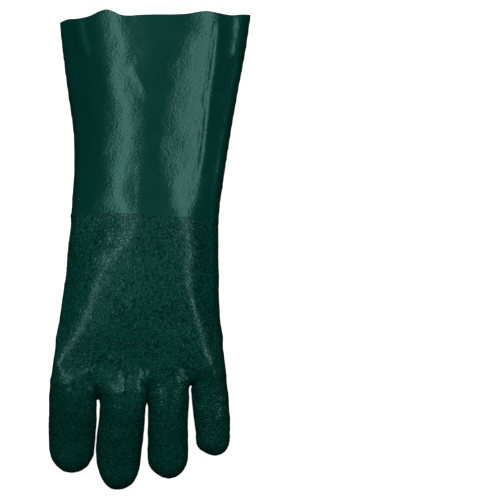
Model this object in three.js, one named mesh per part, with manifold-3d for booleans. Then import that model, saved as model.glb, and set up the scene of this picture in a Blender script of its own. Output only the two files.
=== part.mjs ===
// A PVC coated work glove with a long gauntlet cuff, for the left hand, in millimetres.
// It lies palm down on the plane z = 0, with the cuff mouth at +Y, the fingertips at -Y,
// the index finger at -X and the thumb tucked under the palm.
// The glove is one hollow shell: a smooth cuff, and a hand with a second rough coat.
import * as THREE from 'three';
import { mergeVertices } from 'three/addons/utils/BufferGeometryUtils.js';
import Module from 'manifold-3d';

const wasm = await Module();
wasm.setup();

// Lengths along the glove, measured from the line where the second coat ends
const CUFF_LENGTH = 146;
const PALM_LENGTH = 126;
const RIM_WAVE = 3;

// Widths across the glove, lying flat
const MOUTH_WIDTH = 137;
const WRIST_WIDTH = 105;
const KNUCKLE_WIDTH = 125;

// Heights of the empty, slightly open tube
const CUFF_HEIGHT = 32;
const PALM_THICKNESS = 29;

// Walls: lining and first coat together, then the second coat on the hand
const WALL = 1.7;
const SECOND_COAT = 0.5;
const JOIN_GAP = 0.3;
const DIP_LINE_SLOPE = 2.4;

// Thumb, which lies along the palm on the index side
const THUMB_WIDTH = 33;
const THUMB_THICKNESS = 25;
const THUMB_REACH = 114;
const THUMB_HEEL = 34;

// The palm rests on the thumb, so it is lifted by the thumb and a small gap
const THUMB_GAP = 1.5;
const PALM_LIFT = THUMB_THICKNESS + THUMB_GAP;

// Fingers: each starts this far inside the palm, and reach is its length from there. place is
// a share of KNUCKLE_WIDTH, lean is how far the tip stands to the side, and root is the height
// of its start as a share of PALM_LIFT.
const ROOT_DEPTH = 24;
const FINGERS = {
  index: { width: 33.5, thickness: 28, reach: 83, place: -0.378, lean: -2.5, root: 1.66 },
  middle: { width: 32.5, thickness: 28, reach: 95, place: -0.088, lean: -5.5, root: 1.472 },
  ring: { width: 28.2, thickness: 25.5, reach: 87, place: 0.162, lean: -0.6, root: 1.17 },
  little: { width: 25.2, thickness: 23, reach: 70.5, place: 0.388, lean: 4, root: 0.868 },
};

// Height of a fingertip's middle line, as a share of the finger's thickness: the tip rests on
// the surface and is flattened a little
const TIP_HEIGHT = 0.428;

// Fineness of the faceted surface
const TUBE_SIDES = 44;
const TUBE_RINGS = 26;
const FINGER_SIDES = 18;
const FINGER_RINGS = 8;
const TIP_RINGS = 4;
const RING_CROWDING = 0.1;

// The walls run together in the side folds, so the hollow ends this many walls short of them
const FOLD_WALL = 1.4;

// Cuff sections. along is a share of CUFF_LENGTH, flare runs from the wrist's width to the
// mouth's, sway is a share of WRIST_WIDTH, and left to ridge are shares of CUFF_HEIGHT: the
// heights of the side folds, then of the layers above and below them. fold says how tight the
// side folds are: 1 is an ellipse, more is tighter and less is blunter.
const CUFF_SECTIONS = [
  {
    along: 1.0, flare: 1.0, sway: 0.036, left: 0.19, right: 0.19,
    crown: 0.69, belly: 0.32, ridge: 0.16, fold: 1.2,
  },
  {
    along: 0.78, flare: 0.76, sway: 0.026, left: 0.19, right: 0.19,
    crown: 0.78, belly: 0.32, ridge: 0.12, fold: 1.2,
  },
  {
    along: 0.58, flare: 0.46, sway: 0.021, left: 0.21, right: 0.2,
    crown: 0.86, belly: 0.34, ridge: 0.09, fold: 1.2,
  },
  {
    along: 0.38, flare: 0.2, sway: 0.013, left: 0.24, right: 0.22,
    crown: 0.91, belly: 0.36, ridge: 0.06, fold: 1.2,
  },
  {
    along: 0.18, flare: 0.06, sway: -0.009, left: 0.34, right: 0.25,
    crown: 0.9, belly: 0.42, ridge: 0.04, fold: 1.2,
  },
  {
    along: 0.0, flare: 0.0, sway: -0.03, left: 0.56, right: 0.31,
    crown: 0.8, belly: 0.46, ridge: 0.02, fold: 1.1,
  },
];

// Palm sections. along is a share of PALM_LENGTH, flare runs from the wrist's width to the
// knuckles', sway is a share of WRIST_WIDTH, left and right are shares of PALM_LIFT, crown and
// belly are shares of PALM_THICKNESS, and draw pulls the little finger's side back.
const PALM_SECTIONS = [
  {
    along: 0.16, flare: 0.05, sway: -0.038, left: 1.04, right: 0.46,
    crown: 0.81, belly: 0.42, fold: 1.05, draw: 0,
  },
  {
    along: 0.33, flare: 0.17, sway: -0.044, left: 1.46, right: 0.58,
    crown: 0.76, belly: 0.32, fold: 1.0, draw: 0,
  },
  {
    along: 0.5, flare: 0.33, sway: -0.056, left: 1.68, right: 0.64,
    crown: 0.72, belly: 0.28, fold: 0.9, draw: 0,
  },
  {
    along: 0.7, flare: 0.6, sway: -0.06, left: 1.7, right: 0.66,
    crown: 0.7, belly: 0.28, fold: 0.75, draw: 0,
  },
  {
    along: 0.84, flare: 0.85, sway: -0.059, left: 1.64, right: 0.68,
    crown: 0.64, belly: 0.3, fold: 0.62, draw: 0.03,
  },
  {
    along: 0.92, flare: 0.9, sway: -0.06, left: 1.58, right: 0.7,
    crown: 0.52, belly: 0.28, fold: 0.6, draw: 0.05,
  },
  {
    along: 0.97, flare: 0.7, sway: -0.062, left: 1.5, right: 0.72,
    crown: 0.32, belly: 0.2, fold: 0.7, draw: 0.06,
  },
  {
    along: 1.0, flare: 0.1, sway: -0.064, left: 1.44, right: 0.74,
    crown: 0.08, belly: 0.06, fold: 0.9, draw: 0.06,
  },
];

// The long ridges of the cuff's upper layer, with their places across it and their breadths
const RIDGES = [
  { across: -0.42, breadth: 0.2, height: 1 },
  { across: 0.5, breadth: 0.24, height: 1 },
  { across: 0.02, breadth: 0.22, height: -0.9 },
];

// The cut edge of the mouth: reach is a share of RIM_WAVE, across runs from side to side
const RIM_EDGE = [
  { across: -1.0, reach: -1.4 },
  { across: -0.72, reach: -0.8 },
  { across: -0.4, reach: 1.0 },
  { across: -0.08, reach: -0.3 },
  { across: 0.26, reach: -0.2 },
  { across: 0.52, reach: 0.6 },
  { across: 0.74, reach: 0.0 },
  { across: 1.0, reach: 0.6 },
];

// A finger's shape along its reach: girth is a share of its width and thickness, and fall is
// the share of the way from the root's height down to the tip's.
const FINGER_SHAPE = [
  { along: 0.0, girth: 0.55, fall: 0.0 },
  { along: 0.2, girth: 0.99, fall: 0.07 },
  { along: 0.45, girth: 1.01, fall: 0.35 },
  { along: 0.65, girth: 1.0, fall: 0.68 },
  { along: 0.82, girth: 0.97, fall: 0.92 },
  { along: 1.0, girth: 0.9, fall: 1.0 },
];

// The thumb's shape along its whole length from heel to tip: swing is a share of THUMB_WIDTH
const THUMB_SHAPE = [
  { along: 0.0, girth: 0.7, swing: 0.36 },
  { along: 0.18, girth: 1.16, swing: 0.3 },
  { along: 0.36, girth: 1.2, swing: 0.18 },
  { along: 0.6, girth: 1.02, swing: 0.03 },
  { along: 0.82, girth: 0.98, swing: 0.0 },
  { along: 1.0, girth: 0.9, swing: -0.02 },
];
const THUMB_PLACE = -0.215;

// Value of one column of a table at a given key, on a smooth curve through its rows
function along(table, key, column, at) {
  const rows = [...table].sort((a, b) => a[key] - b[key]);
  const last = rows.length - 1;
  if (at <= rows[0][key]) return rows[0][column];
  if (at >= rows[last][key]) return rows[last][column];
  const i = rows.findIndex((row) => row[key] >= at) - 1;
  const slope = (k) => {
    const a = rows[Math.max(k - 1, 0)];
    const b = rows[Math.min(k + 1, last)];
    return (b[column] - a[column]) / (b[key] - a[key]);
  };
  const span = rows[i + 1][key] - rows[i][key];
  const t = (at - rows[i][key]) / span;
  const start = rows[i][column] * (1 + 2 * t) * (1 - t) ** 2;
  const end = rows[i + 1][column] * t * t * (3 - 2 * t);
  const bend = span * (slope(i) * t * (1 - t) ** 2 - slope(i + 1) * t * t * (1 - t));
  return start + end + bend;
}

// All sections of cuff and palm in millimetres, from the end of the palm to the mouth
function tubeSections() {
  const cuff = CUFF_SECTIONS.map((row) => ({
    y: row.along * CUFF_LENGTH,
    half: (WRIST_WIDTH + row.flare * (MOUTH_WIDTH - WRIST_WIDTH)) / 2,
    middle: row.sway * WRIST_WIDTH,
    left: row.left * CUFF_HEIGHT,
    right: row.right * CUFF_HEIGHT,
    crown: row.crown * CUFF_HEIGHT,
    belly: row.belly * CUFF_HEIGHT,
    ridge: row.ridge * CUFF_HEIGHT,
    fold: row.fold,
    draw: 0,
  }));
  const palm = PALM_SECTIONS.map((row) => ({
    y: -row.along * PALM_LENGTH,
    half: (WRIST_WIDTH + row.flare * (KNUCKLE_WIDTH - WRIST_WIDTH)) / 2,
    middle: row.sway * WRIST_WIDTH,
    left: row.left * PALM_LIFT,
    right: row.right * PALM_LIFT,
    crown: row.crown * PALM_THICKNESS,
    belly: row.belly * PALM_THICKNESS,
    ridge: 0,
    fold: row.fold,
    draw: row.draw * PALM_LENGTH,
  }));
  return [...palm.reverse(), ...cuff.reverse()];
}

// Height that the ridges add to the upper layer at a place across it
function ridgeAt(across) {
  let height = 0;
  for (const ridge of RIDGES) {
    height += ridge.height * Math.exp(-(((across - ridge.across) / ridge.breadth) ** 2));
  }
  return height;
}

// One ring of the tube. inset is how far it lies inside the first coat's surface.
function tubeRing(section, inset) {
  const ring = [];
  for (let i = 0; i < TUBE_SIDES; i += 1) {
    const angle = (2 * Math.PI * i) / TUBE_SIDES;
    const across = Math.cos(angle);
    const up = Math.sin(angle);
    const half = section.half - FOLD_WALL * inset;
    const fold = (section.left * (1 - across) + section.right * (1 + across)) / 2;
    const bulge = Math.abs(up) ** section.fold;
    const upper = fold + (section.crown - inset) * bulge + section.ridge * ridgeAt(across) * bulge;
    const lower = fold - (section.belly - inset) * bulge;
    const x = section.middle + half * across;
    const y = section.y + section.draw * across;
    ring.push(new THREE.Vector3(x, y, Math.max(up > 0 ? upper : lower, inset, 0)));
  }
  return ring;
}

// A closed mesh through rings of equal size, with a fan over each end
function loft(rings) {
  const sides = rings[0].length;
  const points = rings.flat();
  const faces = [];
  for (let r = 0; r + 1 < rings.length; r += 1) {
    for (let i = 0; i < sides; i += 1) {
      const a = r * sides + i;
      const b = r * sides + ((i + 1) % sides);
      faces.push(a, b + sides, b, a, a + sides, b + sides);
    }
  }
  const middleOf = (ring) => ring
    .reduce((sum, point) => sum.add(point), new THREE.Vector3())
    .divideScalar(ring.length);
  const first = points.length;
  points.push(middleOf(rings[0]), middleOf(rings[rings.length - 1]));
  const lastRing = (rings.length - 1) * sides;
  for (let i = 0; i < sides; i += 1) {
    const next = (i + 1) % sides;
    faces.push(first, i, next);
    faces.push(first + 1, lastRing + next, lastRing + i);
  }
  const geometry = new THREE.BufferGeometry();
  const places = points.flatMap((point) => point.toArray());
  geometry.setAttribute('position', new THREE.Float32BufferAttribute(places, 3));
  geometry.setIndex(faces);
  return geometry;
}

// A solid for joining and cutting, from a closed mesh
function solid(geometry) {
  const bare = geometry.clone();
  bare.deleteAttribute('normal');
  bare.deleteAttribute('uv');
  const merged = mergeVertices(bare, 1e-4);
  return new wasm.Manifold(new wasm.Mesh({
    numProp: 3,
    vertProperties: new Float32Array(merged.attributes.position.array),
    triVerts: new Uint32Array(merged.index.array),
  }));
}

// The tube of cuff and palm. The inner one runs on through the mouth, so that it is open.
function tube(inset) {
  const table = tubeSections();
  const low = table[0].y + inset;
  const rings = [];
  for (let r = 0; r <= TUBE_RINGS; r += 1) {
    const share = r / TUBE_RINGS;
    const y = low + (CUFF_LENGTH - low) * (share - RING_CROWDING * Math.sin(2 * Math.PI * share));
    const section = { y };
    for (const column of Object.keys(table[0]).filter((name) => name !== 'y')) {
      section[column] = along(table, 'y', column, y - inset);
    }
    rings.push(tubeRing(section, inset));
  }
  const mouth = rings[rings.length - 1];
  for (const point of mouth) {
    const across = (point.x - CUFF_SECTIONS[0].sway * WRIST_WIDTH) / (MOUTH_WIDTH / 2);
    point.y += RIM_WAVE * along(RIM_EDGE, 'across', 'reach', across);
  }
  if (inset > 0) rings.push(mouth.map((point) => point.clone().setY(CUFF_LENGTH + 4 * RIM_WAVE)));
  return solid(loft(rings));
}

// One ring of a finger or thumb, square to its middle line, flat where it lies on the table
function fingerRing(centre, direction, halfWidth, halfThickness, floor) {
  const side = new THREE.Vector3(1, 0, 0);
  const over = new THREE.Vector3().crossVectors(side, direction).normalize();
  const ring = [];
  for (let i = 0; i < FINGER_SIDES; i += 1) {
    const angle = (2 * Math.PI * i) / FINGER_SIDES;
    const point = centre.clone();
    point.addScaledVector(side, halfWidth * Math.cos(angle));
    point.addScaledVector(over, halfThickness * Math.sin(angle));
    point.z = Math.max(point.z, floor);
    ring.push(point);
  }
  return ring;
}

// A closed finger: rings along its middle line, then rings of a round tip. inset shortens it at
// both ends as well.
function finger(line, girth, width, thickness, inset) {
  const tipShare = (0.5 * width) / (line(0).y - line(1).y);
  const stations = [];
  for (let r = 0; r <= FINGER_RINGS; r += 1) {
    stations.push({ at: ((1 - tipShare) * r) / FINGER_RINGS, round: 1 });
  }
  for (let r = 1; r <= TIP_RINGS; r += 1) {
    const angle = (0.97 * Math.PI * r) / TIP_RINGS / 2;
    stations.push({ at: 1 - tipShare * (1 - Math.sin(angle)), round: Math.cos(angle) });
  }
  const shorten = inset / (line(0).y - line(1).y);
  const rings = stations.map((station) => {
    const at = shorten + station.at * (1 - 2 * shorten);
    const direction = line(at + 0.01).sub(line(at - 0.01)).normalize();
    const size = girth(at);
    return fingerRing(
      line(at),
      direction.negate(),
      (0.5 * width * size - inset) * station.round,
      (0.5 * thickness * size - inset) * station.round,
      Math.max(inset, 0),
    );
  });
  return solid(loft(rings.reverse()));
}

// One of the four fingers, from inside the palm to its tip
function namedFinger(size, inset) {
  const knuckles = PALM_SECTIONS.reduce((widest, row) => (row.flare > widest.flare ? row : widest));
  const place = knuckles.sway * WRIST_WIDTH + size.place * KNUCKLE_WIDTH;
  const root = size.root * PALM_LIFT;
  const tip = size.thickness * TIP_HEIGHT;
  const line = (at) => new THREE.Vector3(
    place + size.lean * at,
    ROOT_DEPTH - PALM_LENGTH - size.reach * at,
    root + (tip - root) * along(FINGER_SHAPE, 'along', 'fall', at),
  );
  const girth = (at) => along(FINGER_SHAPE, 'along', 'girth', at);
  return finger(line, girth, size.width, size.thickness, inset);
}

// The thumb, from its heel in the cuff to its tip under the palm
function thumb(inset) {
  const length = THUMB_REACH + THUMB_HEEL;
  const line = (at) => new THREE.Vector3(
    THUMB_PLACE * KNUCKLE_WIDTH + THUMB_WIDTH * along(THUMB_SHAPE, 'along', 'swing', at),
    THUMB_HEEL - length * at,
    THUMB_THICKNESS / 2,
  );
  const girth = (at) => along(THUMB_SHAPE, 'along', 'girth', at);
  return finger(line, girth, THUMB_WIDTH, THUMB_THICKNESS, inset);
}

// The whole glove as one solid body without its hollow, at a given inset
function body(inset) {
  let whole = tube(inset).add(thumb(inset));
  for (const size of Object.values(FINGERS)) whole = whole.add(namedFinger(size, inset));
  return whole;
}

// Everything on one side of the line where the second coat ends, which slants a little
function sideOfDipLine(towardsMouth, gap) {
  const reach = 2 * (CUFF_LENGTH + PALM_LENGTH + FINGERS.middle.reach);
  const half = new THREE.BoxGeometry(reach, reach, reach);
  half.translate(0, towardsMouth ? reach / 2 + gap : -reach / 2, 0);
  half.rotateZ(THREE.MathUtils.degToRad(-DIP_LINE_SLOPE));
  return solid(half);
}

// A named mesh with its own material, from a solid
function piece(name, shape, look) {
  const mesh = shape.getMesh();
  const geometry = new THREE.BufferGeometry();
  geometry.setAttribute('position', new THREE.Float32BufferAttribute(mesh.vertProperties, 3));
  geometry.setIndex(Array.from(mesh.triVerts));
  geometry.computeVertexNormals();
  const part = new THREE.Mesh(geometry, new THREE.MeshStandardMaterial(look));
  part.name = name;
  return part;
}

const hollow = body(WALL);
const cuffShape = body(0).subtract(hollow).intersect(sideOfDipLine(true, JOIN_GAP));
const handShape = body(-SECOND_COAT).subtract(hollow).intersect(sideOfDipLine(false, 0));

const glove = new THREE.Group();
glove.add(piece('gauntlet_cuff', cuffShape, { color: 0x003a30, roughness: 0.3, metalness: 0 }));
glove.add(piece('coated_hand', handShape, { color: 0x053a32, roughness: 0.7, metalness: 0 }));

// The origin is under the middle of the glove's box
const box = new THREE.Box3().setFromObject(glove);
const middle = box.getCenter(new THREE.Vector3());
glove.position.set(-middle.x, -middle.y, -box.min.z);

export default glove;
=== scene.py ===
"""A long PVC coated work glove for the left hand, lying palm down on a white table.

The glove is one hollow skin with two finishes: a smooth glossy cuff, and a hand with a
second, sandy coat. Both pieces come from the outer faces of the frame's solids, which are
made fine and smooth, shaped by functions, and given their wall thickness again.
"""
import math

import bmesh
import bpy
import numpy as np
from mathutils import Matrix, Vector
from mathutils.bvhtree import BVHTree


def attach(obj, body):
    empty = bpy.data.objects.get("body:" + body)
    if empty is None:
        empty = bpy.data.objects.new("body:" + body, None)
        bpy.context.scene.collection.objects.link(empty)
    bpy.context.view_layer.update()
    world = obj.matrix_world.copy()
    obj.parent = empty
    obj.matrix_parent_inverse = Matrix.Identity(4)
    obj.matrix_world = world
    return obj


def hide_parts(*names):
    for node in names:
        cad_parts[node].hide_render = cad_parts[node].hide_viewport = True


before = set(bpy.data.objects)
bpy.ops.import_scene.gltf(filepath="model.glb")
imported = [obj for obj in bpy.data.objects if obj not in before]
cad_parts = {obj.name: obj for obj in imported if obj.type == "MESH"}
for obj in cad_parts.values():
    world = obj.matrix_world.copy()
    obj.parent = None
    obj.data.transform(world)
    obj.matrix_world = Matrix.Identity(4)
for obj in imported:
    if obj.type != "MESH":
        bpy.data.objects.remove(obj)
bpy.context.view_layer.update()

# A millimetre in metres. The tables and the shaping are in millimetres.
MM = 0.001

# The size of the skin's faces, the two pieces' walls, how far a wall may fill a narrow bend,
# and the angle between faces that shows as sharp
VOXEL = 1.4 * MM
CUFF_WALL = 1.7 * MM
HAND_WALL = 2.2 * MM
WALL_CLAMP = 1.8
SHARP = math.radians(60)

# The second coat: how proud it stands, and the distance from the dip line in which it rises
SECOND_COAT = 0.1
COAT_EDGE = (0.0, 1.5)

# The frame's solids: how near points are one, and how near to an open end and how sharp
# an edge is a rim's
SAME_POINT = 0.01 * MM
RIM_REACH = 14 * MM
RIM_ANGLE = 0.7

# How the cuff's skin is run on: the mouth, which lies beyond MOUTH_SIDE, to MOUTH_RUN, and
# the other end by HAND_OVERLAP
MOUTH_SIDE = 0.1
MOUTH_RUN = 0.188
HAND_OVERLAP = 3 * MM

# How the skin is evened out: a step towards the neighbours, the step back, and the rounds for
# the whole skin
EVEN_STEP = 0.5
BACK_STEP = 0.53
BODY_ROUNDS = 60

# The photograph's frame: its pixels, the size of one on the table, and the place of the
# frame's middle over the table
FRAME_PIXELS = 500
PIXEL = 0.73 * MM
FRAME_MIDDLE = (73.0 * MM, 0.3 * MM)
CAMERA_HEIGHT = 1.5
CAMERA_REACH = 10.0
SENSOR = 36.0

# The line where the second coat ends: its place along the glove at places across it
DIP_LINE = ((-60.0, 26.6), (-12.0, 26.3), (22.0, 24.1), (52.0, 21.8))

# The cut edge of the mouth: its place along the glove at places across it
RIM_LINE = (
    (-65.0, 165.4), (-59.4, 167.0), (-51.0, 166.9), (-41.7, 168.4), (-33.7, 171.6),
    (-29.8, 172.4), (-24.9, 171.0), (-19.5, 168.4), (-13.9, 167.6), (-6.2, 168.0),
    (5.6, 168.3), (19.1, 168.4), (30.0, 169.3), (36.4, 170.7), (42.2, 171.5),
    (48.5, 170.8), (54.1, 170.0), (60.7, 169.7), (66.2, 170.6), (72.0, 171.0),
)

# Both lines run on a smooth curve through their places, in steps of this size. A cut takes
# points this near to its line as on it.
LINE_STEP = 0.5
ON_LINE = 0.02 * MM

# How the upper layer leans across the glove, in degrees, at its named places. It shows the
# left light where it leans from about -20 to -12, and the right one from 18 to 27.
LEANS = (-24.0, -20.0, -12.0, -7.0, 0.0, 11.0, 18.0, 27.0)

# Sections of the upper layer: the place along the glove, how the left and right sides lean,
# where the left side ends, where each of the leans is, and where the right side starts
TOP_SECTIONS = (
    (176, -36, 38, (-56, -41, -34, -25, -21, -2, 24, 36, 45, 53)),
    (157, -36, 39, (-52, -38, -32.5, -22, -18, 0, 25, 33, 47.5, 53)),
    (143, -36, 40, (-49, -34, -29.5, -18.5, -14.5, 2, 16, 24, 48, 54)),
    (122, -36, 40, (-47, -33, -29, -20.5, -16.5, -2, 10, 17, 44, 50)),
    (108, -37, 40, (-46, -31.5, -27.5, -15.5, -11.5, -1, 10, 15.8, 42.2, 48)),
    (93, -37, 40, (-45, -32, -28.5, -12.5, -9, 0, 7.5, 12.6, 41.2, 46)),
    (72, -37, 39, (-46, -35.5, -32, -14.5, -11, -2, 5, 8.6, 39.5, 44)),
    (54, -36, 37, (-45, -33, -29.5, -18.5, -14, -3, 8, 12.2, 36.8, 42)),
    (43, -36, 36, (-44, -31.5, -27.4, -17.6, -12, -1, 12, 17, 34.5, 39.5)),
    (32, -34, 38, (-46, -37, -33, -16.5, -12, -1, 14, 19, 33.4, 39)),
    (22, -32, 40, (-46, -24, -16.5, -7, -3, 4, 21, 26, 32.4, 38)),
    (12, -32, 42, (-47, -25, -20, -11, -7, 4, 22, 27.5, 32.5, 38)),
    (4, -33, 44, (-48, -30, -25, -14, -10, 4, 22, 27.5, 32.5, 38)),
    (-10, -36, 46, (-52, -45, -42, -29.5, -25.5, -2, 23.5, 27, 32, 38)),
    (-21, -36, 48, (-52, -42.5, -40.5, -34.5, -32, -12, 25, 27.5, 31, 37)),
    (-38, -36, 50, (-55, -44.5, -42, -39.5, -38, -20, 29.5, 31.5, 34, 38)),
    (-52, -36, 50, (-56, -50, -48, -46.3, -45, -28, 34, 36, 38.5, 42)),
    (-66, -34, 50, (-61, -58, -56.5, -55, -53.5, -38, 37.5, 40, 42.5, 46)),
    (-80, -34, 50, (-66, -65.3, -64.7, -63.7, -62.7, -54, 41, 44, 46.5, 50)),
    (-94, -34, 50, (-67, -66.4, -65.8, -64.8, -63.8, -55, 43, 47, 49.5, 53)),
)

# The heights at its two sides ask for a little more or less slope than a section gives. That
# is spread over the section by how free it is at these of its places.
FREE_PLACES = (1, 2, 3, 5, 6, 7, 9)
FREEDOM = (1, 0.3, 0.3, 1, 0.7, 0.3, 1)

# The grid of the upper layer's heights: its cells across and along, what keeps a place inside
# its last cell, its ends, how near to a row the skin's sides are read, how far inside them it
# starts, and its blurs in cells
CELL = 1.0
ROW = 2.0
JUST_INSIDE = 1.001
GRID_X = (-80.0, 80.0)
GRID_Y = (-100.0, 182.0)
ROW_REACH = 1.5
MARGIN = 4.0
ROW_BLUR = 2.0
SLOPE_BLUR = 1.5

# Where the sections fade out along the glove and at its sides, and how the upper layer is
# evened out after them, in full from a weight of 1 / TOP_GAIN
TOP_END = (-97.0, -84.0)
EDGE_ZONE = (2.0, 7.0)
TOP_ROUNDS = 7
TOP_GAIN = 4

# The upper layer's points: how much they face up at least, how far over the skin they look for
# the sky from, and how often the layer's edge is softened. ABOVE is over the whole glove.
UPWARD = 0.02
LIFT_OFF = 0.4
SOFT_ROUNDS = 3
ABOVE = 200.0

# The narrow gaps between the fingers, as places along and across the glove. They are held
# open while the skin is made fine.
GAPS = (
    ((-156.0, -38.6), (-133.0, -38.2), (-118.0, -36.9), (-104.0, -36.2)),
    ((-153.0, -3.7), (-136.0, -2.6), (-118.0, -1.6), (-105.0, -1.4)),
    ((-136.0, 31.0), (-123.0, 30.2), (-112.0, 29.5), (-100.0, 29.0)),
)

# A gap is held open by GAP_SPREAD, within GAP_HALF of its line and not in the palm. The way
# back is found in a number of halvings.
GAP_HALF = 1.0
GAP_SPREAD = 7.0
GAP_START = (-100.0, -90.0)
HALVINGS = 30

# How far the outline moves at places along the glove: on the left, then on the right. It goes
# over from one to the other between two places across it.
OUTLINE_SHIFT = (
    (172, -1.5, 1.6), (138, -0.8, 1.4), (112, -1.1, 1.2), (90, -0.7, 1.2), (50, -0.7, 1.3),
    (28, -0.7, 1.1), (18, 0.2, 0.3), (7, -0.2, 0.5), (-3, -0.4, 0.5), (-14, 0.4, 0.4),
    (-36, 0.4, 0.2), (-50, 0.7, 0.1), (-66, -0.6, 1.2), (-78, -1.5, 1.3), (-84, -1.6, 1.7),
    (-90, -0.9, 2.5), (-100, -1.2, 2.0), (-113, -0.8, 1.9), (-122, 0.5, 0.9), (-133, -0.2, 0.3),
    (-146, -0.2, 1.2),
)
OUTLINE_BLEND = (-64.0, 58.0)

# How far the two sides of each gap move at places along the glove
GAP_SHIFTS = (
    ((-94, 0, 0), (-99, 0.2, 1.6), (-111, 1.0, 2.2), (-122, 0.0, 0.6), (-135, -0.3, 0.0),
     (-144, -0.8, -0.8), (-154, -0.4, 0.0), (-160, 1.0, 1.2)),
    ((-96, 0, 0), (-99, 0.9, -0.9), (-107, 1.0, -0.9), (-112, 0, 0), (-136, 0, 0),
     (-144, -1.0, -1.0), (-156, -1.4, -1.6), (-172, -1.4, -1.9)),
    ((-95, 0, 0), (-101, -0.6, -1.2), (-111, -1.2, -1.2), (-122, -0.9, -0.1), (-133, 0.2, 0.8),
     (-144, -0.4, -1.9), (-160, -0.6, -1.0)),
)

# A side moves less and less from its gap's line outwards, and not in the palm. Next to the
# line, the way that a point faces tells its side.
GAP_REACH = (11.0, 2.0)
GAP_PALM = (-88.0, -96.0)
GAP_NEXT = 4.0

# Where the palm's sides are evened out into the outer fingers: on the left, on the right, from
# the fingers and from the palm
ROOT_LEFT = (-54.0, -61.0)
ROOT_RIGHT = (42.0, 48.0)
ROOT_FINGERS = (-122.0, -112.0)
ROOT_PALM = (-62.0, -72.0)
ROOT_ROUNDS = 110

# Where the back of the hand is evened out into the fingers: from the fingers, from the palm,
# by how well the sky is seen, and beside the gaps, which stay as they are
KNUCKLE_FINGERS = (-116.0, -104.0)
KNUCKLE_PALM = (-80.0, -90.0)
KNUCKLE_SEEN = (0.3, 0.8)
GAP_SIDE = (2.0, 6.0)
GAP_TOP = (-98.0, -90.0)
KNUCKLE_ROUNDS = 60

# How far the index finger's side of the hand droops at places along the glove, and the height
# of its upper layer there
DROOP = (
    (44, 0, 22), (30, 1.5, 25), (16, 6, 30), (0, 11.5, 38), (-16, 13, 45), (-32, 14.3, 50),
    (-48, 14.3, 53), (-64, 11.3, 53), (-80, 8, 53), (-100, 8.5, 50), (-125, 9.5, 40),
    (-150, 6, 30), (-172, 3, 25),
)

# The droop grows over a width to the left of its start, and with the height up to a limit.
DROOP_START = 2.0
DROOP_WIDTH = 60.0
DROOP_MOST = 1.05

# The little finger's side is fuller: by how much, from where across the glove, from the palm
# and from the fingers, and the height that gets all of it
FULLNESS = 5.0
FULL_ACROSS = (20.0, 42.0)
FULL_PALM = (60.0, -40.0)
FULL_FINGERS = (-110.0, -80.0)
FULL_HEIGHT = 30.0

# Small folds and creases of the upper layer: their height, half their width and their line.
# They fade out where the sky is less seen.
FOLDS = (
    (1.3, 3.0, ((66.5, 166.0), (65.5, 157.0), (63.5, 143.0))),
    (1.5, 3.0, ((-51.0, 164.0), (-49.0, 150.0), (-46.0, 142.0))),
    (0.5, 2.8, ((-9.0, 128.0), (-3.0, 118.0), (0.5, 110.0))),
    (0.35, 2.4, ((-4.0, 58.0), (-5.0, 30.0))),
    (0.5, 2.2, ((-31.0, 14.0), (-29.0, 9.0))),
    (0.6, 2.0, ((44.5, -22.0), (45.0, -42.0))),
    (0.8, 1.7, ((-24.0, -76.0), (-17.0, -84.0), (-15.3, -99.0))),
    (0.7, 1.7, ((-10.5, -82.0), (-14.0, -92.0))),
    (0.9, 1.9, ((-62.0, -94.5), (-55.0, -93.0), (-47.0, -89.5), (-39.5, -85.5))),
    (0.6, 1.8, ((17.5, -84.0), (19.5, -93.0))),
    (0.6, 2.4, ((44.0, -88.0), (53.0, -90.5))),
    (-1.4, 1.8, ((-2.2, -84.0), (-1.9, -95.0))),
    (-1.0, 2.0, ((-40.0, -93.0), (-37.2, -98.0))),
    (-1.0, 2.0, ((26.0, -83.0), (28.6, -89.0))),
)
FOLD_SEEN = (0.2, 0.9)

# The sharp fold along the cuff's right side: its line, the heights, half widths and distances
# from the line of its crest and groove, and where it starts and stops
RIDGE_LINE = (
    (45.0, 35.0), (50.4, 35.8), (79.0, 40.0), (107.7, 43.0), (136.3, 46.5), (161.3, 50.1),
)
RIDGE_WAVES = ((0.3, 1.9, 1.3), (-0.17, 1.0, -2.6))
RIDGE_START = (46.0, 58.0)
RIDGE_STOP = (168.0, 158.0)

# Its finer faces: the middle and half width of their strip, and the cuts in each edge. It
# reaches as far as RIDGE_REACH from its line, on faces that face up.
STRIP_MIDDLE = -0.9
STRIP_HALF = 4.0
STRIP_CUTS = 2
RIDGE_REACH = 7.0
FACING_UP = 0.5

# The unevenness of the cuff and of the hand: height and wavelength. Each is a sum of waves
# in chance directions, with lengths that differ within WAVE_SPREAD.
CUFF_WAVES = ((0.06, 20.0), (0.015, 7.0))
HAND_WAVES = ((0.05, 15.0), (0.02, 6.0))
CUFF_SEED = 5
HAND_SEED = 9
WAVE_COUNT = 28
WAVE_SPREAD = (0.7, 1.4)

# Colours: the smooth coat's two tones; the second coat's two tones, the darker one painted shade in
# the hollows of its wrinkles and the paler one on its crests; the lining's, the darker one painted
# shade in the hollows between its loops and the paler one on them; and the cut edge's
SMOOTH_TONES = ((0.0004, 0.032, 0.0235, 1), (0.0008, 0.042, 0.031, 1))
SANDY_GROOVE_SHADE_TONES = ((0.0004, 0.018, 0.012, 1), (0.0012, 0.039, 0.029, 1))
SANDY_PATCH_GROOVE_SHADE_TONES = ((0.0005, 0.022, 0.0155, 1), (0.0015, 0.045, 0.034, 1))
LINER_HOLLOW_SHADE_TONES = ((0.34, 0.36, 0.32, 1), (0.66, 0.66, 0.6, 1))
EDGE_TONES = ((0.004, 0.05, 0.04, 1), (0.4, 0.45, 0.4, 1))
SMOOTH_GLOSS = (0.45, 1.0, 0.95, 1)
SANDY_GLOSS = (0.48, 1.0, 0.95, 1)

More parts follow.
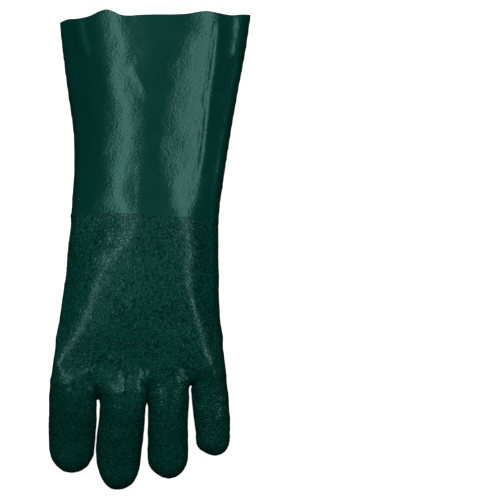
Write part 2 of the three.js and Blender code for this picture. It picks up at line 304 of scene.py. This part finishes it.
# The table: its size, how far it lies under the glove, and its grey and glow
TABLE_SIZE = 8.0
TABLE_DROP = 0.0004
TABLE_GREY = (0.4, 0.4, 0.4, 1)
WHITE = (1, 1, 1, 1)
TABLE_GLOW = 1.0
ROOM_GLOW = 0.01

# The soft lights: the name, how far it is turned to the side and lifted to the mouth's side in
# degrees, the distance, the size across and along, the radiance, the place that it faces, and
# whether it shows in reflections alone or in all but them
PANELS = (
    ("overhead", 0, 22, 2.0, (1.6, 1.6), 5.8, (0.0, 0.0, 0.0), False),
    ("left", -30, 0, 1.3, (0.34, 1.5), 3.6, (-0.02, 0.3, 0.03), True),
    ("right", 45, 0, 1.3, (0.42, 1.5), 3.1, (0.03, 0.3, 0.03), True),
)


def add_camera():
    """Looks straight down, with the glove at the left of the frame as in the photograph."""
    data = bpy.data.cameras.new("camera")
    data.sensor_width = SENSOR
    data.lens = SENSOR * CAMERA_HEIGHT / (FRAME_PIXELS * PIXEL)
    data.clip_end = CAMERA_REACH
    camera = add_object("camera", data)
    camera.location = (*FRAME_MIDDLE, CAMERA_HEIGHT)
    bpy.context.scene.camera = camera


def add_object(name, data):
    """Puts a mesh, light or camera in the scene."""
    made = bpy.data.objects.new(name, data)
    bpy.context.scene.collection.objects.link(made)
    return made


def step(low, high, values):
    """A smooth step from 0 at low to 1 at high."""
    share = np.clip((values - low) / (high - low), 0.0, 1.0)
    return share * share * (3.0 - 2.0 * share)


def curve(rows, at):
    """Values of a table at keys, on a smooth curve through its rows. Keys come first."""
    rows = np.array(sorted(rows), float)
    keys, values = rows[:, 0], rows[:, 1:]
    slopes = np.gradient(values, keys, axis=0)
    at = np.clip(at, keys[0], keys[-1])
    i = np.clip(np.searchsorted(keys, at, side="right") - 1, 0, len(keys) - 2)
    span = (keys[i + 1] - keys[i])[:, None]
    t = ((at - keys[i]) / (keys[i + 1] - keys[i]))[:, None]
    return (
        values[i] * (1 + 2 * t) * (1 - t) ** 2
        + values[i + 1] * t * t * (3 - 2 * t)
        + span * (slopes[i] * t * (1 - t) ** 2 - slopes[i + 1] * t * t * (1 - t))
    )


def outer_skin(node):
    """The outer faces of a hollow solid: those reached from its side without crossing a rim."""
    skin = bmesh.new()
    skin.from_mesh(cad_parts[node].data)
    bmesh.ops.remove_doubles(skin, verts=skin.verts, dist=SAME_POINT)
    rows = [v.co.y for v in skin.verts]
    is_cuff = node == "gauntlet_cuff"
    high = max(rows) - RIM_REACH
    low = min(rows) + RIM_REACH if is_cuff else -math.inf

    def is_rim(edge):
        middle = (edge.verts[0].co.y + edge.verts[1].co.y) / 2
        near = edge.is_convex and (middle > high or middle < low)
        near = near or (is_cuff and middle > high)
        return near and edge.calc_face_angle(0.0) > RIM_ANGLE

    seed = max(skin.verts, key=lambda v: v.co.x).link_faces[0]
    outer, front = {seed}, [seed]
    while front:
        for edge in front.pop().edges:
            if is_rim(edge):
                continue
            for face in edge.link_faces:
                if face not in outer:
                    outer.add(face)
                    front.append(face)
    others = [face for face in skin.faces if face not in outer]
    bmesh.ops.delete(skin, geom=others, context="FACES")
    return skin


def close_ends(skin, node):
    """Runs the open ends of a skin on, the mouth straight out and the cuff into the hand."""
    open_edges = {edge for edge in skin.edges if len(edge.link_faces) == 1}
    while open_edges:
        loop, front = [], [open_edges.pop()]
        while front:
            edge = front.pop()
            loop.append(edge)
            for vert in edge.verts:
                for other in vert.link_edges:
                    if other in open_edges:
                        open_edges.discard(other)
                        front.append(other)
        if node == "gauntlet_cuff":
            made = bmesh.ops.extrude_edge_only(skin, edges=loop)["geom"]
            verts = [item for item in made if isinstance(item, bmesh.types.BMVert)]
            at_mouth = verts[0].co.y > MOUTH_SIDE
            for vert in verts:
                vert.co.y = MOUTH_RUN if at_mouth else vert.co.y - HAND_OVERLAP
            ring = set(verts)
            loop = [
                item for item in made
                if isinstance(item, bmesh.types.BMEdge) and ring.issuperset(item.verts)
            ]
        bmesh.ops.edgeloop_fill(skin, edges=loop)


def spread(x, y):
    """How far the fingers are moved apart at a point."""
    total = np.zeros_like(x)
    for gap in GAPS:
        line = np.interp(y, *np.array(gap).T)
        total += step(line - GAP_HALF, line + GAP_HALF, x) - 0.5
    return GAP_SPREAD * total * (1 - step(*GAP_START, y))


def closed_up(x, y):
    """The places that spread moved to x."""
    low, high = x - 2 * GAP_SPREAD, x + 2 * GAP_SPREAD
    for _ in range(HALVINGS):
        middle = (low + high) / 2
        beyond = middle + spread(middle, y) > x
        low, high = np.where(beyond, low, middle), np.where(beyond, middle, high)
    return (low + high) / 2


def make_body():
    """The whole glove's outside as one closed mesh of small faces."""
    whole = bmesh.new()
    for node in ("gauntlet_cuff", "coated_hand"):
        skin = outer_skin(node)
        close_ends(skin, node)
        bmesh.ops.recalc_face_normals(skin, faces=skin.faces)
        part = bpy.data.meshes.new("part")
        skin.to_mesh(part)
        skin.free()
        whole.from_mesh(part)
        bpy.data.meshes.remove(part)
    for vert in whole.verts:
        x, y = np.array([vert.co.x]) / MM, np.array([vert.co.y]) / MM
        vert.co.x += float(spread(x, y)[0]) * MM
    mesh = bpy.data.meshes.new("body")
    whole.to_mesh(mesh)
    whole.free()
    return with_modifier(mesh, "REMESH", mode="VOXEL", voxel_size=VOXEL)


def with_modifier(mesh, kind, **settings):
    """The mesh that a modifier makes of a mesh."""
    carrier = add_object("carrier", mesh)
    modifier = carrier.modifiers.new(kind, kind)
    for name, value in settings.items():
        setattr(modifier, name, value)
    graph = bpy.context.evaluated_depsgraph_get()
    made = bpy.data.meshes.new_from_object(carrier.evaluated_get(graph))
    bpy.data.objects.remove(carrier)
    return made


class Skin:
    """The points of a mesh in millimetres, with what the shaping needs to know of them."""

    def __init__(self, mesh):
        self.mesh = mesh
        self.points = np.empty(3 * len(mesh.vertices))
        mesh.vertices.foreach_get("co", self.points)
        self.points = self.points.reshape(-1, 3) / MM
        edges = np.empty(2 * len(mesh.edges), int)
        mesh.edges.foreach_get("vertices", edges)
        self.edges = edges.reshape(-1, 2)
        self.links = np.bincount(self.edges.ravel(), minlength=len(self.points))

    def write(self):
        self.mesh.vertices.foreach_set("co", (self.points * MM).ravel())
        self.mesh.update()

    def normals(self):
        self.write()
        found = np.empty(3 * len(self.points))
        self.mesh.vertices.foreach_get("normal", found)
        return found.reshape(-1, 3)

    def around(self, values):
        """For each point, the mean of its neighbours' values."""
        a, b = self.edges.T
        size = len(self.points)
        sums = [
            np.bincount(a, column[b], size) + np.bincount(b, column[a], size)
            for column in values.T
        ]
        return np.stack(sums, 1) / self.links[:, None]

    def smooth(self, rounds, weight=1.0, back=BACK_STEP):
        """Evens the surface out. With a step back it keeps its size."""
        weight = np.broadcast_to(np.asarray(weight, float), (len(self.points),))[:, None]
        for _ in range(rounds):
            for share in (EVEN_STEP, -back):
                self.points += share * weight * (self.around(self.points) - self.points)

    def tree(self):
        self.write()
        faces = [tuple(face.vertices) for face in self.mesh.polygons]
        return BVHTree.FromPolygons([tuple(point) for point in self.points], faces)


def height_over(tree, x, y):
    """The height of the skin's top at a place, or 0 where there is none."""
    hit = tree.ray_cast(Vector((x, y, ABOVE)), Vector((0.0, 0.0, -1.0)))
    return hit[0].z if hit[0] else 0.0


def upper_layer(skin, tree):
    """A weight of 1 on the points that see the sky straight above them, soft at its edge."""
    normals = skin.normals()
    seen = np.zeros(len(skin.points))
    up = Vector((0.0, 0.0, 1.0))
    for i in np.nonzero(normals[:, 2] > UPWARD)[0]:
        start = Vector(skin.points[i] + LIFT_OFF * normals[i])
        seen[i] = tree.ray_cast(start, up)[0] is None
    for _ in range(SOFT_ROUNDS):
        seen = 0.5 * seen + 0.5 * skin.around(seen[:, None])[:, 0]
    return seen


def blurred(values, width, axis):
    """Values of a grid, blurred along one axis. Width is in cells."""
    reach = int(3 * width)
    kernel = np.exp(-0.5 * (np.arange(-reach, reach + 1) / width) ** 2)
    kernel /= kernel.sum()
    pad = [(reach, reach) if k == axis else (0, 0) for k in range(values.ndim)]
    padded = np.pad(values, pad, mode="edge")
    return np.apply_along_axis(lambda line: np.convolve(line, kernel, "valid"), axis, padded)


def sides_along(skin, grid_y):
    """Where the skin's left and right sides are at places along the glove."""
    sides = np.zeros((len(grid_y), 2))
    for j, y in enumerate(grid_y):
        near = np.abs(skin.points[:, 1] - y) < ROW_REACH
        sides[j] = skin.points[near, 0].min(), skin.points[near, 0].max()
    return blurred(sides, ROW_BLUR, 0)


def top_heights(tree, sides, grid_x, grid_y):
    """The upper layer's heights: between the heights at its sides, it leans as the sections say."""
    rows = curve([(y, left, right, *places) for y, left, right, places in TOP_SECTIONS], grid_y)
    heights = np.zeros((len(grid_y), len(grid_x)))
    ends = np.array([
        [height_over(tree, sides[j, 0] + MARGIN, y), height_over(tree, sides[j, 1] - MARGIN, y)]
        for j, y in enumerate(grid_y)
    ])
    ends = blurred(ends, ROW_BLUR, 0)
    for j in range(len(grid_y)):
        inside = (grid_x > sides[j, 0] + MARGIN) & (grid_x < sides[j, 1] - MARGIN)
        places = rows[j, 2:]
        leans = np.array([rows[j, 0], *LEANS, rows[j, 1]])
        slope = -np.tan(np.radians(np.interp(grid_x, places, leans)))
        slope = blurred(slope, SLOPE_BLUR, 0)
        free = np.interp(grid_x, places[list(FREE_PLACES)], FREEDOM)
        rise = np.sum(slope[inside]) * CELL
        lack = (ends[j, 1] - ends[j, 0] - rise) / np.sum(free[inside]) / CELL
        slope = np.where(inside, slope + lack * free, 0.0)
        heights[j] = ends[j, 0] + np.cumsum(slope) * CELL
    return blurred(heights, ROW_BLUR, 0)


def between_cells(at, grid, size):
    """The cell before each place, and the share of the way to the next."""
    place = np.clip((at - grid[0]) / size, 0, len(grid) - JUST_INSIDE)
    cell = place.astype(int)
    return cell, place - cell


def shape_top(skin):
    """Gives the upper layer of the cuff and the palm its long folds, and says where it is."""
    tree = skin.tree()
    seen = upper_layer(skin, tree)
    grid_x, grid_y = np.arange(*GRID_X, CELL), np.arange(*GRID_Y, ROW)
    sides = sides_along(skin, grid_y)
    heights = top_heights(tree, sides, grid_x, grid_y)
    x, y, z = skin.points.T
    (i, s), (j, t) = between_cells(x, grid_x, CELL), between_cells(y, grid_y, ROW)
    top = (
        heights[j, i] * (1 - s) * (1 - t) + heights[j, i + 1] * s * (1 - t)
        + heights[j + 1, i] * (1 - s) * t + heights[j + 1, i + 1] * s * t
    )
    left = np.interp(y, grid_y, sides[:, 0])
    right = np.interp(y, grid_y, sides[:, 1])
    weight = seen * step(*EDGE_ZONE, x - left) * step(*EDGE_ZONE, right - x)
    weight *= step(*TOP_END, y)
    skin.points[:, 2] = z + weight * (top - z)
    skin.smooth(TOP_ROUNDS, np.clip(TOP_GAIN * weight, 0, 1), back=0.0)
    return seen


def fit_outline(skin):
    """Moves the sides of the cuff and palm, and the outer sides of the hand."""
    x, y = skin.points.T[:2]
    rows = np.array(sorted(OUTLINE_SHIFT), float)
    left = np.interp(y, rows[:, 0], rows[:, 1])
    right = np.interp(y, rows[:, 0], rows[:, 2])
    share = step(*OUTLINE_BLEND, x)
    skin.points[:, 0] = x + left * (1 - share) + right * share


def fit_fingers(skin):
    """Moves the fingers' facing sides."""
    normals = skin.normals()
    x, y = skin.points.T[:2]
    total = np.zeros_like(x)
    for gap, shifts in zip(GAPS, GAP_SHIFTS):
        line = np.interp(y, *np.array(gap).T)
        places, left, right = np.array(sorted(shifts), float).T
        facing = np.where(np.abs(x - line) < GAP_NEXT, -normals[:, 0], x - line)
        side = np.where(facing < 0, np.interp(y, places, left), np.interp(y, places, right))
        total += side * step(*GAP_REACH, np.abs(x - line)) * step(*GAP_PALM, y)
    skin.points[:, 0] = x + total


def even_root(skin):
    """Lets the palm's sides run into the outer fingers without a notch."""
    x, y = skin.points.T[:2]
    sides = step(*ROOT_LEFT, x) + step(*ROOT_RIGHT, x)
    skin.smooth(ROOT_ROUNDS, sides * step(*ROOT_FINGERS, y) * step(*ROOT_PALM, y), back=0.0)


def droop(skin):
    """Lowers the index finger's side of the hand and fills the other."""
    x, y, z = skin.points.T
    rows = np.array(sorted(DROOP), float)
    drop, height = np.interp(y, rows[:, 0], rows[:, 1]), np.interp(y, rows[:, 0], rows[:, 2])
    left = np.clip((DROOP_START - x) / DROOP_WIDTH, 0, 1)
    right = step(*FULL_ACROSS, x) * step(*FULL_PALM, y) * step(*FULL_FINGERS, y)
    lower, fuller = np.clip(z / height, 0, DROOP_MOST), np.clip(z / FULL_HEIGHT, 0, 1)
    skin.points[:, 2] = z - drop * left * lower + FULLNESS * right * fuller


def even_knuckles(skin, seen):
    """Lets the back of the hand run into the fingers without steps."""
    x, y = skin.points.T[:2]
    zone = step(*KNUCKLE_FINGERS, y) * step(*KNUCKLE_PALM, y) * step(*KNUCKLE_SEEN, seen)
    for gap in GAPS:
        line = np.interp(y, *np.array(gap).T)
        zone *= 1 - (1 - step(*GAP_SIDE, np.abs(x - line))) * (1 - step(*GAP_TOP, y))
    skin.smooth(KNUCKLE_ROUNDS, zone, back=0.0)


def far_from(line, x, y):
    """How far points are from a line of places."""
    nearest = np.full_like(x, np.inf)
    for (ax, ay), (bx, by) in zip(line, line[1:]):
        dx, dy = bx - ax, by - ay
        share = np.clip(((x - ax) * dx + (y - ay) * dy) / (dx * dx + dy * dy), 0, 1)
        nearest = np.minimum(nearest, np.hypot(x - ax - share * dx, y - ay - share * dy))
    return nearest


def add_folds(skin, seen):
    """Raises the small folds of the upper layer and sinks its creases."""
    x, y, z = skin.points.T
    rise = np.zeros_like(x)
    for height, width, line in FOLDS:
        rise += height * np.exp(-0.5 * (far_from(line, x, y) / width) ** 2)
    skin.points[:, 2] = z + rise * step(*FOLD_SEEN, seen)


def waves(points, wavelength, seed):
    """A smooth unevenness of a given wavelength, with a mean square of one."""
    dice = np.random.default_rng(seed)
    total = np.zeros(len(points))
    for _ in range(WAVE_COUNT):
        direction = dice.normal(size=3)
        direction *= 2 * math.pi / np.linalg.norm(direction) / wavelength
        direction /= dice.uniform(*WAVE_SPREAD)
        total += np.sin(points @ direction + dice.uniform(0, 2 * math.pi))
    return total * math.sqrt(2 / WAVE_COUNT)


def uneven(skin, sizes, seed):
    """Moves the points out and in by waves of the given heights and wavelengths."""
    normals = skin.normals()
    for i, (height, wavelength) in enumerate(sizes):
        skin.points += normals * (height * waves(skin.points, wavelength, seed + i))[:, None]


def add_ridge(mesh):
    """Raises the sharp fold along the cuff's right side, on finer faces."""
    fine = bmesh.new()
    fine.from_mesh(mesh)
    places, values = np.array(RIDGE_LINE).T

    def off(vert):
        return vert.co.x / MM - float(np.interp(vert.co.y / MM, places, values))

    def within(vert, middle, half):
        along = RIDGE_START[0] < vert.co.y / MM < RIDGE_STOP[0]
        return along and vert.normal.z > FACING_UP and abs(off(vert) - middle) < half

    strip = {vert for vert in fine.verts if within(vert, STRIP_MIDDLE, STRIP_HALF)}
    edges = [edge for edge in fine.edges if strip.issuperset(edge.verts)]
    bmesh.ops.subdivide_edges(fine, edges=edges, cuts=STRIP_CUTS, use_grid_fill=True)
    for vert in fine.verts:
        if within(vert, 0.0, RIDGE_REACH):
            y = vert.co.y / MM
            share = float(step(*RIDGE_START, y) * step(*RIDGE_STOP, y))
            for height, width, at in RIDGE_WAVES:
                rise = height * math.exp(-0.5 * ((off(vert) - at) / width) ** 2)
                vert.co.z += rise * share * MM
    fine.to_mesh(mesh)
    fine.free()


def cut(mesh, line, keep):
    """The part of a mesh on one side of a line along the glove: 1 keeps the mouth's side."""
    places, values = np.array(line).T
    part = bmesh.new()
    part.from_mesh(mesh)
    for vert in part.verts:
        vert.co.y -= float(np.interp(vert.co.x / MM, places, values)) * MM
    geometry = [*part.verts, *part.edges, *part.faces]
    bmesh.ops.bisect_plane(
        part, geom=geometry, dist=ON_LINE, plane_co=(0, 0, 0), plane_no=(0, keep, 0),
        clear_inner=True,
    )
    for vert in part.verts:
        vert.co.y += float(np.interp(vert.co.x / MM, places, values)) * MM
    made = bpy.data.meshes.new(mesh.name)
    part.to_mesh(made)
    part.free()
    return made


def smooth_line(line):
    """A line of places, on a smooth curve through them."""
    at = np.arange(line[0][0], line[-1][0] + LINE_STEP, LINE_STEP)
    return np.stack([at, curve(line, at)[:, 0]], 1)


class Nodes:
    """Builds a material's nodes."""

    def __init__(self, name):
        self.material = bpy.data.materials.new(name)
        self.material.use_nodes = True
        self.tree = self.material.node_tree
        self.shader = self.tree.nodes["Principled BSDF"]
        self.place = self.add("ShaderNodeTexCoord").outputs["Object"]

    def add(self, kind, inputs=None, **settings):
        node = self.tree.nodes.new(kind)
        for name, value in settings.items():
            setattr(node, name, value)
        for name, value in (inputs or {}).items():
            self.set(node.inputs[name], value)
        return node

    def set(self, socket, value):
        if isinstance(value, bpy.types.NodeSocket):
            self.tree.links.new(value, socket)
        else:
            socket.default_value = value

    def noise(self, scale, detail=2.0, distortion=0.0):
        inputs = {
            "Vector": self.place, "Scale": scale, "Detail": detail, "Distortion": distortion,
        }
        return self.add("ShaderNodeTexNoise", inputs).outputs["Fac"]

    def math(self, operation, a, b=0.0):
        return self.add("ShaderNodeMath", {0: a, 1: b}, operation=operation).outputs[0]

    def bands(self, scale, distortion, direction):
        inputs = {"Vector": self.place, "Scale": scale, "Distortion": distortion}
        return self.add("ShaderNodeTexWave", inputs, bands_direction=direction).outputs["Fac"]

    def ramp(self, value, low, high, start=0.0, end=1.0):
        inputs = {
            "Value": value, "From Min": low, "From Max": high, "To Min": start, "To Max": end,
        }
        node = self.add("ShaderNodeMapRange", inputs, interpolation_type="SMOOTHSTEP")
        return node.outputs["Result"]

    def mix(self, share, a, b):
        node = self.add("ShaderNodeMix", data_type="RGBA")
        for socket, value in zip((node.inputs[0], node.inputs[6], node.inputs[7]), (share, a, b)):
            self.set(socket, value)
        return node.outputs[2]

    def bump(self, height, distance, before=None):
        node = self.add("ShaderNodeBump", {"Height": height, "Strength": 1.0})
        node.inputs["Distance"].default_value = distance
        if before:
            self.set(node.inputs["Normal"], before)
        return node.outputs["Normal"]

    def finish(self, **values):
        for name, value in values.items():
            self.set(self.shader.inputs[name.replace("_", " ")], value)
        return self.material


def smooth_pvc():
    """Glossy green vinyl with a slight orange peel and a few pimples."""
    n = Nodes("smooth_pvc")
    tone = n.mix(n.noise(scale=55.0, detail=3.0), *SMOOTH_TONES)
    peel = n.bump(n.noise(scale=230.0), distance=0.00013)
    peel = n.bump(n.noise(scale=600.0), distance=0.00016, before=peel)
    spots = n.add("ShaderNodeTexVoronoi", {"Vector": n.place, "Scale": 62.0}).outputs
    dice = n.add("ShaderNodeSeparateColor", {0: spots["Color"]}).outputs[0]
    rare = n.math("GREATER_THAN", dice, 0.8)
    pimple = n.ramp(spots["Distance"], low=0.02, high=0.075, start=1.0, end=0.0)
    peel = n.bump(n.math("MULTIPLY", pimple, rare), distance=0.0004, before=peel)
    return n.finish(
        Base_Color=tone, Normal=peel, Roughness=0.22, IOR=1.5, Specular_Tint=SMOOTH_GLOSS
    )


def sandy_pvc():
    """The second coat: fine worm-like wrinkles that sparkle where the light catches them, with
    painted shade in their hollows.
    """
    n = Nodes("sandy_pvc")
    warped = n.noise(scale=370.0, detail=1.0, distortion=0.6)
    valley = n.math("ABSOLUTE", n.math("SUBTRACT", warped, 0.5))
    groove_shade = n.ramp(valley, low=0.0, high=0.1)
    worms = n.ramp(valley, low=0.01, high=0.13)
    patches = n.ramp(n.noise(scale=40.0, detail=3.0), low=0.3, high=0.7)
    # Painted shade: the hollows of the wrinkles take the darker tone of each pair, in and out of
    # the patches.
    tone = n.mix(patches, n.mix(groove_shade, *SANDY_GROOVE_SHADE_TONES), n.mix(groove_shade, *SANDY_PATCH_GROOVE_SHADE_TONES))
    rough = n.bump(n.noise(scale=150.0), distance=0.00016)
    rough = n.bump(worms, distance=0.00014, before=rough)
    rough = n.bump(n.noise(scale=900.0), distance=0.00003, before=rough)
    return n.finish(
        Base_Color=tone, Normal=rough, Roughness=0.16, IOR=1.43, Specular_Tint=SANDY_GLOSS
    )


def liner():
    """The knitted lining: pale cotton loops in rows, with painted shade in the hollows between
    them.
    """
    n = Nodes("liner")
    ribs = n.bands(scale=160.0, distortion=1.5, direction="X")
    loops = n.bands(scale=220.0, distortion=2.0, direction="Y")
    knit = n.math("MULTIPLY", ribs, loops)
    # Painted shade: the knit's hollows take the darker tone, the loops the paler one.
    tone = n.mix(knit, *LINER_HOLLOW_SHADE_TONES)
    return n.finish(Base_Color=tone, Normal=n.bump(knit, distance=0.0004), Roughness=0.95)


def cut_edge():
    """The cut edge of the mouth: green vinyl with pale specks of the lining."""
    n = Nodes("cut_edge")
    specks = n.math("GREATER_THAN", n.noise(scale=700.0), 0.66)
    tone = n.mix(specks, *EDGE_TONES)
    return n.finish(Base_Color=tone, Normal=n.bump(specks, distance=0.0002), Roughness=0.6)


def white_table():
    """The table glows evenly, so that the floor of the picture is white."""
    return Nodes("white_table").finish(
        Base_Color=TABLE_GREY, Roughness=0.9, Emission_Color=WHITE, Emission_Strength=TABLE_GLOW
    )


def add_piece(mesh, name, wall, finishes):
    """Gives a skin its wall and its finishes, outside, inside and at the edge."""
    for face in mesh.polygons:
        face.material_index = 0
        face.use_smooth = True
    mesh.materials.clear()
    for material in finishes:
        mesh.materials.append(material)
    solid = with_modifier(
        mesh, "SOLIDIFY", thickness=wall, thickness_clamp=WALL_CLAMP, offset=-1.0,
        material_offset=1, material_offset_rim=2,
    )
    solid.set_sharp_from_angle(angle=SHARP)
    piece = add_object(name, solid)
    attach(piece, "root")
    return piece


def add_panel(name, turn, lift, distance, size, radiance, aim, glossy):
    """A soft light over the glove."""
    data = bpy.data.lights.new(name, "AREA")
    data.shape = "RECTANGLE"
    data.size, data.size_y = size
    data.energy = radiance * math.pi * size[0] * size[1]
    turn, lift = math.radians(turn), math.radians(lift)
    flat = math.cos(lift)
    toward = Vector((flat * math.sin(turn), math.sin(lift), flat * math.cos(turn)))
    lamp = add_object(name, data)
    lamp.location = Vector(aim) + distance * toward
    lamp.rotation_euler = (-lift, turn, 0.0)
    lamp.visible_glossy, lamp.visible_diffuse = glossy, not glossy


def add_studio():
    """A white table, a wide soft light above it, and a tall soft light on each side."""
    bpy.ops.mesh.primitive_plane_add(size=TABLE_SIZE, location=(0.0, 0.0, -TABLE_DROP))
    floor = bpy.context.active_object
    floor.name = "floor"
    floor.data.materials.append(white_table())
    floor.visible_glossy = False
    floor.visible_diffuse = False
    for panel in PANELS:
        add_panel(*panel)
    world = bpy.data.worlds.new("studio")
    world.use_nodes = True
    sky = world.node_tree.nodes["Background"].inputs
    sky["Color"].default_value = WHITE
    sky["Strength"].default_value = ROOM_GLOW
    bpy.context.scene.world = world
    bpy.context.scene.view_settings.view_transform = "Standard"


def shaped_body():
    """The whole glove's outside, in the shape that the photograph shows."""
    body = make_body()
    skin = Skin(body)
    skin.smooth(BODY_ROUNDS)
    skin.points[:, 0] = closed_up(skin.points[:, 0], skin.points[:, 1])
    even_root(skin)
    fit_fingers(skin)
    fit_outline(skin)
    droop(skin)
    seen = shape_top(skin)
    even_knuckles(skin, seen)
    add_folds(skin, seen)
    skin.write()
    return body


def rest_on_table(skin):
    """Flattens what would go through the table."""
    skin.points[:, 2] = np.maximum(skin.points[:, 2], 0.0)
    skin.write()


def add_glove():
    """Cuts the glove at its mouth and its dip line, and finishes its two pieces."""
    body = shaped_body()
    dip, rim = smooth_line(DIP_LINE), smooth_line(RIM_LINE)
    cuff = cut(cut(body, rim, -1), dip, 1)
    hand = cut(body, dip, -1)
    sleeve = Skin(cuff)
    uneven(sleeve, CUFF_WAVES, CUFF_SEED)
    rest_on_table(sleeve)
    add_ridge(cuff)
    coat = Skin(hand)
    under = np.interp(coat.points[:, 0], *dip.T) - coat.points[:, 1]
    coat.points += coat.normals() * (SECOND_COAT * step(*COAT_EDGE, under))[:, None]
    uneven(coat, CUFF_WAVES, CUFF_SEED)
    uneven(coat, HAND_WAVES, HAND_SEED)
    rest_on_table(coat)
    inside, edge = liner(), cut_edge()
    cuff_wall = add_piece(cuff, "cuff_wall", CUFF_WALL, (smooth_pvc(), inside, edge))
    hand_wall = add_piece(hand, "hand_wall", HAND_WALL, (sandy_pvc(), inside, edge))
    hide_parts("gauntlet_cuff")
    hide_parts("coated_hand")


add_camera()
add_studio()
add_glove()
